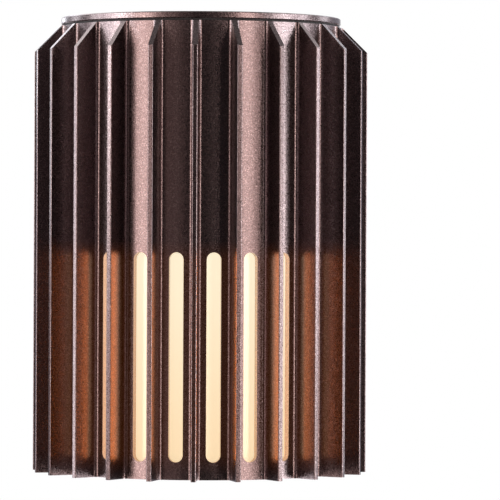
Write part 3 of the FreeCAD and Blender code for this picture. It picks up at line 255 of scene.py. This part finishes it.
# Earth sleeve, extruded silicone: green with yellow stripes across it, about 20 mm apart.
# The wave's value runs from 0 to 1, and the stripe begins between the two edges.
earthSleeve = {"dark": "#2F7A33", "light": "#3B8A3D", "grain": 0.9, "relief": 0.01, "roughness": (0.4, 0.52),
               "green": "#2F8036", "yellow": "#E0CB2E", "waveScale": 17.6838, "stripeEdge": (0.5, 0.56)}
material, tree, shader, place = newFinish("green_yellow_sleeve")
grainOn(tree, shader, place, earthSleeve["dark"], earthSleeve["light"], earthSleeve["grain"],
        earthSleeve["roughness"], earthSleeve["relief"])
stripe = addNode(tree, "ShaderNodeTexWave", {"Vector": place, "Scale": earthSleeve["waveScale"]},
                 bands_direction="DIAGONAL")
stripeMask = addNode(tree, "ShaderNodeMapRange", {
    "Value": stripe.outputs["Fac"], "From Min": earthSleeve["stripeEdge"][0],
    "From Max": earthSleeve["stripeEdge"][1]}).outputs["Result"]
sleeve = addNode(tree, "ShaderNodeMix", {
    mixFactor: stripeMask, mixFirst: hexColour(earthSleeve["green"]),
    mixSecond: hexColour(earthSleeve["yellow"])}, data_type="RGBA").outputs[mixResult]
tree.links.new(sleeve, shader.inputs["Base Color"])
finishes["earth_lead"] = material
print("finishes made:", len(finishes))

for node in nodes.values():
    for slot in node.material_slots:
        slot.material = finishes[slot.material.name]
print("finishes assigned")


def newTree(name, inputs):
    # a Geometry Nodes tree with named inputs, one of them its finish, and one geometry output
    tree = bpy.data.node_groups.new(name, "GeometryNodeTree")
    for label, kind in inputs.items():
        tree.interface.new_socket(name=label, in_out="INPUT", socket_type=kind)
    tree.interface.new_socket(name="Geometry", in_out="OUTPUT", socket_type="NodeSocketGeometry")
    return tree, addNode(tree, "NodeGroupInput").outputs


def finishTree(tree, shape):
    solid = addNode(tree, "GeometryNodeRealizeInstances", {"Geometry": shape}).outputs[0]
    painted = addNode(tree, "GeometryNodeSetMaterial", {
        "Geometry": solid, "Material": tree.nodes["Group Input"].outputs["Finish"]}).outputs[0]
    addNode(tree, "NodeGroupOutput", {"Geometry": painted})


def grow(name, tree, sizes, body, slot, wall=0.0, outward=-1, replaced=(), turn=None):
    # runs the tree on a new object, keeps the plain mesh and puts the piece on its body
    piece = bpy.data.objects.new(name, bpy.data.meshes.new(name))
    bpy.context.scene.collection.objects.link(piece)
    growing = piece.modifiers.new("growing", "NODES")
    growing.node_group = tree
    for item in tree.interface.items_tree:
        if item.in_out == "INPUT":
            growing[item.identifier] = finishes[slot] if item.name == "Finish" else sizes[item.name]
    if wall:
        sheet = piece.modifiers.new("sheet", "SOLIDIFY")
        sheet.thickness, sheet.offset = wall, outward
    grown = bpy.data.meshes.new_from_object(piece.evaluated_get(bpy.context.evaluated_depsgraph_get()))
    piece.modifiers.clear()
    if turn:
        grown.transform(turn)
    piece.data = grown
    for face in grown.polygons:
        face.use_smooth = True
    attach(piece, body)
    if replaced:
        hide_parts(*replaced)


# Rolled sheet thread of 27 mm lamps: a grid wrapped round the axis, its radius following the helix.
# The grid runs from -0.5 to 0.5 along the axis; the thread fades out towards both ends, between the two
# values of "runOut", and the edge rolls in from "rollFrom" up.
threadGrid = {"round": 73, "along": 89, "runOut": (0.49, 0.36), "rollFrom": 0.42, "end": 0.5,
              "join": 0.02 * mm, "wall": 0.35 * mm}
tree, given = newTree("rolledThread", {
    "Low": "NodeSocketFloat", "High": "NodeSocketFloat", "Crest": "NodeSocketFloat", "Depth": "NodeSocketFloat",
    "Pitch": "NodeSocketFloat", "Roll In": "NodeSocketFloat", "Finish": "NodeSocketMaterial"})
grid = addNode(tree, "GeometryNodeMeshGrid", {
    "Size X": 1.0, "Size Y": 1.0, "Vertices X": threadGrid["round"],
    "Vertices Y": threadGrid["along"]}).outputs["Mesh"]
gridPoint = addNode(tree, "GeometryNodeInputPosition").outputs[0]
flat = addNode(tree, "ShaderNodeSeparateXYZ", {"Vector": gridPoint}).outputs
angle = addNode(tree, "ShaderNodeMath", {0: flat["X"], 1: math.tau}, operation="MULTIPLY").outputs[0]
height = addNode(tree, "ShaderNodeMapRange", {
    "Value": flat["Y"], "From Min": -threadGrid["end"], "From Max": threadGrid["end"],
    "To Min": given["Low"], "To Max": given["High"]}).outputs["Result"]
turns = addNode(tree, "ShaderNodeMath", {0: height, 1: given["Pitch"]}, operation="DIVIDE").outputs[0]
winding = addNode(tree, "ShaderNodeMath", {0: turns, 1: flat["X"]}, operation="SUBTRACT").outputs[0]
phase = addNode(tree, "ShaderNodeMath", {0: winding, 1: math.tau}, operation="MULTIPLY").outputs[0]
wave = addNode(tree, "ShaderNodeMath", {0: phase}, operation="COSINE").outputs[0]
groove = addNode(tree, "ShaderNodeMapRange", {"Value": wave, "From Min": 1.0, "From Max": -1.0}).outputs["Result"]
fromMiddle = addNode(tree, "ShaderNodeMath", {0: flat["Y"]}, operation="ABSOLUTE").outputs[0]
fade = addNode(tree, "ShaderNodeMapRange", {
    "Value": fromMiddle, "From Min": threadGrid["runOut"][0], "From Max": threadGrid["runOut"][1]},
    interpolation_type="SMOOTHSTEP").outputs["Result"]
cut = addNode(tree, "ShaderNodeMath", {0: groove, 1: fade}, operation="MULTIPLY").outputs[0]
cutDepth = addNode(tree, "ShaderNodeMath", {0: cut, 1: given["Depth"]}, operation="MULTIPLY").outputs[0]
atTop = addNode(tree, "ShaderNodeMapRange", {
    "Value": flat["Y"], "From Min": threadGrid["rollFrom"], "From Max": threadGrid["end"],
    "To Max": given["Roll In"]}, interpolation_type="SMOOTHSTEP").outputs["Result"]
taken = addNode(tree, "ShaderNodeMath", {0: cutDepth, 1: atTop}, operation="ADD").outputs[0]
radius = addNode(tree, "ShaderNodeMath", {0: given["Crest"], 1: taken}, operation="SUBTRACT").outputs[0]
cosine = addNode(tree, "ShaderNodeMath", {0: angle}, operation="COSINE").outputs[0]
sine = addNode(tree, "ShaderNodeMath", {0: angle}, operation="SINE").outputs[0]
across = addNode(tree, "ShaderNodeMath", {0: radius, 1: cosine}, operation="MULTIPLY").outputs[0]
inDepth = addNode(tree, "ShaderNodeMath", {0: radius, 1: sine}, operation="MULTIPLY").outputs[0]
point = addNode(tree, "ShaderNodeCombineXYZ", {"X": across, "Y": inDepth, "Z": height}).outputs[0]
wrapped = addNode(tree, "GeometryNodeSetPosition", {"Geometry": grid, "Position": point}).outputs[0]
closed = addNode(tree, "GeometryNodeMergeByDistance", {
    "Geometry": wrapped, "Distance": threadGrid["join"]}).outputs[0]
finishTree(tree, closed)
onAxis = Matrix.Translation(drumAxis)
threadPitch = 3.629 * mm
lampThread = {"Low": -8.0 * mm, "High": 14.0 * mm, "Crest": 13.05 * mm, "Depth": 0.85 * mm,
              "Pitch": threadPitch, "Roll In": 1.5 * mm}
grow("lamp_base_thread", tree, lampThread, "lamp", "nickel", wall=threadGrid["wall"],
     replaced=("lamp_base_shell",), turn=onAxis)
sleeveThread = {"Low": -3.2 * mm, "High": 18.8 * mm, "Crest": 13.12 * mm, "Depth": -0.75 * mm,
                "Pitch": threadPitch, "Roll In": 0.0}
grow("lampholder_thread", tree, sleeveThread, "housing", "brass", wall=threadGrid["wall"], outward=1,
     replaced=("lampholder_sleeve",), turn=onAxis)
print("rolled threads made")

# Screw threads: a ridge wound on the shank, which starts at "fromMiddle" to the side and "depth" in front
# of the wall. A turn has "turnSteps" steps, and the ridge is four-sided.
lockThread = {"Length": 8.4 * mm, "Turns": 12.0, "Shank": 1.93 * mm, "Ridge": 0.2 * mm,
              "turnSteps": 20, "ridgeSides": 4, "fromMiddle": 38.0 * mm, "depth": 12.0 * mm}
tree, given = newTree("screwThread", {
    "Length": "NodeSocketFloat", "Turns": "NodeSocketFloat", "Shank": "NodeSocketFloat",
    "Ridge": "NodeSocketFloat", "Finish": "NodeSocketMaterial"})
helix = addNode(tree, "GeometryNodeCurveSpiral", {
    "Resolution": lockThread["turnSteps"], "Rotations": given["Turns"], "Start Radius": given["Shank"],
    "End Radius": given["Shank"], "Height": given["Length"]}).outputs[0]
section = addNode(tree, "GeometryNodeCurvePrimitiveCircle", {
    "Resolution": lockThread["ridgeSides"], "Radius": given["Ridge"]}).outputs[0]
ridge = addNode(tree, "GeometryNodeCurveToMesh", {
    "Curve": helix, "Profile Curve": section, "Fill Caps": True}).outputs[0]
finishTree(tree, ridge)
for side, sign in (("left", -1), ("right", 1)):
    toSide = (Matrix.Translation((sign * lockThread["fromMiddle"], -lockThread["depth"], 0))
              @ Matrix.Rotation(sign * math.pi / 2, 4, "Y"))
    grow(f"lock_screw_thread_{side}", tree, lockThread, f"lock_screw_{side}", "stainless", turn=toSide)
print("screw threads made")

# Silicone domes over the emitters, in a ring on the lamp's board.
emitterDomes = {"Count": 12, "Ring": 17 * mm, "Dome": 1.1 * mm, "segments": 20, "rings": 10, "level": -49.0 * mm}
tree, given = newTree("domeRing", {"Count": "NodeSocketInt", "Ring": "NodeSocketFloat", "Dome": "NodeSocketFloat",
                                   "Finish": "NodeSocketMaterial"})
ring = addNode(tree, "GeometryNodeMeshCircle", {"Vertices": given["Count"], "Radius": given["Ring"]}).outputs[0]
ball = addNode(tree, "GeometryNodeMeshUVSphere", {
    "Segments": emitterDomes["segments"], "Rings": emitterDomes["rings"], "Radius": given["Dome"]}).outputs[0]
domes = addNode(tree, "GeometryNodeInstanceOnPoints", {"Points": ring, "Instance": ball}).outputs[0]
finishTree(tree, domes)
onBoard = Matrix.Translation(drumAxis + Vector((0, 0, emitterDomes["level"])))
grow("emitter_domes", tree, emitterDomes, "lamp", "phosphor", turn=onBoard)
print("emitter domes made")


def heading(azimuth, raised=0):
    # the direction from the drum's axis at an azimuth from the camera's side and a height angle, in degrees
    turn, tilt = math.radians(azimuth), math.radians(raised)
    return Vector((math.sin(turn) * math.cos(tilt), -math.cos(turn) * math.cos(tilt), math.sin(tilt)))


def areaLight(name, spot, towards, width, height, watts, tone="#FFFFFF", spread=180):
    lamp = bpy.data.lights.new(name, "AREA")
    lamp.shape = "RECTANGLE"
    lamp.size, lamp.size_y = width, height
    lamp.energy = watts
    lamp.color = hexColour(tone)[:3]
    lamp.spread = math.radians(spread)
    holder = bpy.data.objects.new(name, lamp)
    bpy.context.scene.collection.objects.link(holder)
    holder.matrix_world = Matrix.Translation(spot) @ towards.to_track_quat("-Z", "Y").to_matrix().to_4x4()
    holder.visible_camera = False
    return holder


# Amber light in each slot, standing between the opal cup and the drum's wall. The cup itself only
# glows at the level that the eye sees, so these give the amber reflections on the fins.
# Radius, width, low and high are in mm, power in watts, and each slot has its own share of it.
slotLight = {"stepDegrees": 15, "radius": 72.1, "width": 2.6, "low": -115.5, "high": -11.0,
             "colour": "#FF7F14", "power": 0.0125, "spread": 114,
             "share": (0.55, 0.8, 0.48, 0.26, 0.36, 0.75, 0.2, 0.27, 0.85, 0.55)}
slotLevel = Vector((0, 0, (slotLight["high"] + slotLight["low"]) / 2 * mm))
for number, share in enumerate(slotLight["share"]):
    outward = heading((number - (len(slotLight["share"]) - 1) / 2) * slotLight["stepDegrees"])
    holder = areaLight(f"slot_light_{number + 1}", drumAxis + outward * slotLight["radius"] * mm + slotLevel,
                       outward, slotLight["width"] * mm, (slotLight["high"] - slotLight["low"]) * mm,
                       slotLight["power"] * share, slotLight["colour"], slotLight["spread"])
    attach(holder, "housing")
print("slot lights set")

# Studio: soft strips in a ring, dim in front and bright at the sides and back.
# Each row is azimuth from the camera's side, width, foot and head above the lamp's middle, brightness and tone.
softStrips = {
    "left_0": (-22, 0.24, -0.7, 0.7, 0.13, "#FFDDD8"), "right_0": (16, 0.30, -0.7, 0.7, 0.01, "#FFF4F4"),
    "left_1": (-44.5, 0.29, -0.7, 0.7, 1.55, "#FFECE6"), "right_1": (38.8, 0.22, -0.7, 0.7, 1.75, "#FFECE6"),
    "left_2": (-64, 0.24, 0.05, 0.5, 3.1, "#F8FCFF"), "right_2": (68, 0.3, -0.4, 0.16, 3.2, "#F8FCFF"),
    "left_3": (-76, 0.26, -0.4, 0.9, 1.2, "#F4F8FF"), "right_3": (76, 0.22, -0.5, 0.3, 1.3, "#F4F8FF"),
    "left_4": (-91, 0.20, -0.6, 0.7, 1.5, "#F4F8FF"), "right_4": (91, 0.20, -0.1, 0.6, 2.0, "#F4F8FF"),
    "left_5": (-120, 0.20, 0.0, 0.9, 1.0, "#F4F8FF"), "right_5": (120, 0.20, -0.2, 0.6, 1.2, "#F4F8FF"),
    "left_6": (-150, 0.24, 0.1, 0.8, 0.9, "#F4F8FF"), "right_6": (150, 0.24, 0.25, 0.8, 0.6, "#F4F8FF"),
}
ringRadius = 1.2
# watts of a square metre of light at brightness 1
powerOfOne = 4 * math.pi
for name, (azimuth, width, foot, head, brightness, tone) in softStrips.items():
    outward = heading(azimuth)
    spot = drumAxis + outward * ringRadius + Vector((0, 0, (head + foot) / 2))
    areaLight(name, spot, -outward, width, head - foot, brightness * powerOfOne * width * (head - foot), tone)

# Soft panels high at the back and a dim one overhead: azimuth, height angle, side and brightness.
# They light the fins' slanted tops.
highPanels = {"left_high": (-128, 50, 0.62, 0.55), "right_high": (128, 50, 0.5, 0.32),
              "overhead": (0, 89, 0.8, 0.08)}
for name, (azimuth, raised, side, brightness) in highPanels.items():
    outward = heading(azimuth, raised)
    areaLight(name, drumAxis + outward * ringRadius, -outward, side, side, brightness * powerOfOne * side ** 2)

# The room is dark in front and grows lighter towards the back; the camera sees it white everywhere.
# "fade" and "backdropEdge" are how far a direction points backwards, from 0 at the side to 1 straight back.
room = {"front": 0.022, "behind": 0.4, "tone": "#E4E0F0", "fade": (0.1, 0.95), "backdropEdge": (0.95, 0.99)}
pureWhite = hexColour("#FFFFFF")
world = bpy.data.worlds.new("studio")
bpy.context.scene.world = world
world.use_nodes = True
tree = world.node_tree
tree.nodes.clear()
towards = addNode(tree, "ShaderNodeTexCoord").outputs["Generated"]
depth = addNode(tree, "ShaderNodeSeparateXYZ", {"Vector": towards}).outputs["Y"]
level = addNode(tree, "ShaderNodeMapRange", {
    "Value": depth, "From Min": room["fade"][0], "From Max": room["fade"][1],
    "To Min": room["front"], "To Max": room["behind"]}, interpolation_type="SMOOTHSTEP").outputs["Result"]
path = addNode(tree, "ShaderNodeLightPath").outputs
studio = addNode(tree, "ShaderNodeBackground", {"Strength": level, "Color": hexColour(room["tone"])}).outputs[0]
white = addNode(tree, "ShaderNodeBackground", {"Strength": 1.0, "Color": pureWhite}).outputs[0]
# metal and glass show the white backdrop where it stands, straight behind the object
mirrored = addNode(tree, "ShaderNodeMath", {0: path["Is Glossy Ray"], 1: path["Is Transmission Ray"]},
                   operation="MAXIMUM").outputs[0]
onBackdrop = addNode(tree, "ShaderNodeMapRange", {
    "Value": depth, "From Min": room["backdropEdge"][0], "From Max": room["backdropEdge"][1]}).outputs["Result"]
mirroredWhite = addNode(tree, "ShaderNodeMath", {0: mirrored, 1: onBackdrop}, operation="MULTIPLY").outputs[0]
shown = addNode(tree, "ShaderNodeMath", {0: path["Is Camera Ray"], 1: mirroredWhite},
                operation="MAXIMUM").outputs[0]
seen = addNode(tree, "ShaderNodeMixShader", {0: shown, 1: studio, 2: white}).outputs[0]
addNode(tree, "ShaderNodeOutputWorld", {"Surface": seen})

# A round matt floor far below, which the camera sees nearly white.
floorData = {"level": -1.8, "radius": 6.0, "sides": 96, "matt": "#F2F2F2", "paleness": 0.92}
circle = bpy.data.meshes.new("floor")
edge = [(math.cos(turn) * floorData["radius"], math.sin(turn) * floorData["radius"], floorData["level"])
        for turn in (math.tau * step / floorData["sides"] for step in range(floorData["sides"]))]
circle.from_pydata(edge, [], [list(range(floorData["sides"]))])
floor = bpy.data.objects.new("floor", circle)
bpy.context.scene.collection.objects.link(floor)
material = bpy.data.materials.new("pale_floor")
material.use_nodes = True
tree = material.node_tree
tree.nodes.clear()
matt = addNode(tree, "ShaderNodeBsdfDiffuse", {"Color": hexColour(floorData["matt"])}).outputs[0]
glow = addNode(tree, "ShaderNodeEmission", {"Color": pureWhite, "Strength": 1.0}).outputs[0]
path = addNode(tree, "ShaderNodeLightPath").outputs
glowShare = addNode(tree, "ShaderNodeMath", {0: path["Is Camera Ray"], 1: floorData["paleness"]},
                    operation="MULTIPLY").outputs[0]
both = addNode(tree, "ShaderNodeMixShader", {0: glowShare, 1: matt, 2: glow}).outputs[0]
addNode(tree, "ShaderNodeOutputMaterial", {"Surface": both})
circle.materials.append(material)
print("studio set")

# The camera fitted to the photo: distance and height in metres, angles in degrees, lens and sensor in mm.
view = {"away": 1.9157, "azimuth": 1.86, "height": 0.0031, "roll": 0.267, "lens": 263.7, "sensor": 36,
        "shiftX": 0.1, "shiftY": -0.0484, "clipEnd": 50}
cameraData = bpy.data.cameras.new("camera")
cameraData.lens, cameraData.sensor_width = view["lens"], view["sensor"]
cameraData.shift_x, cameraData.shift_y = view["shiftX"], view["shiftY"]
cameraData.clip_end = view["clipEnd"]
camera = bpy.data.objects.new("camera", cameraData)
bpy.context.scene.collection.objects.link(camera)
spot = drumAxis + heading(view["azimuth"]) * view["away"] + Vector((0, 0, view["height"]))
camera.matrix_world = (Matrix.Translation(spot) @ Matrix.Rotation(math.radians(view["azimuth"]), 4, "Z")
                       @ Matrix.Rotation(math.pi / 2, 4, "X") @ Matrix.Rotation(math.radians(view["roll"]), 4, "Z"))
bpy.context.scene.camera = camera
bpy.context.scene.view_settings.view_transform = "Standard"
print("camera set")
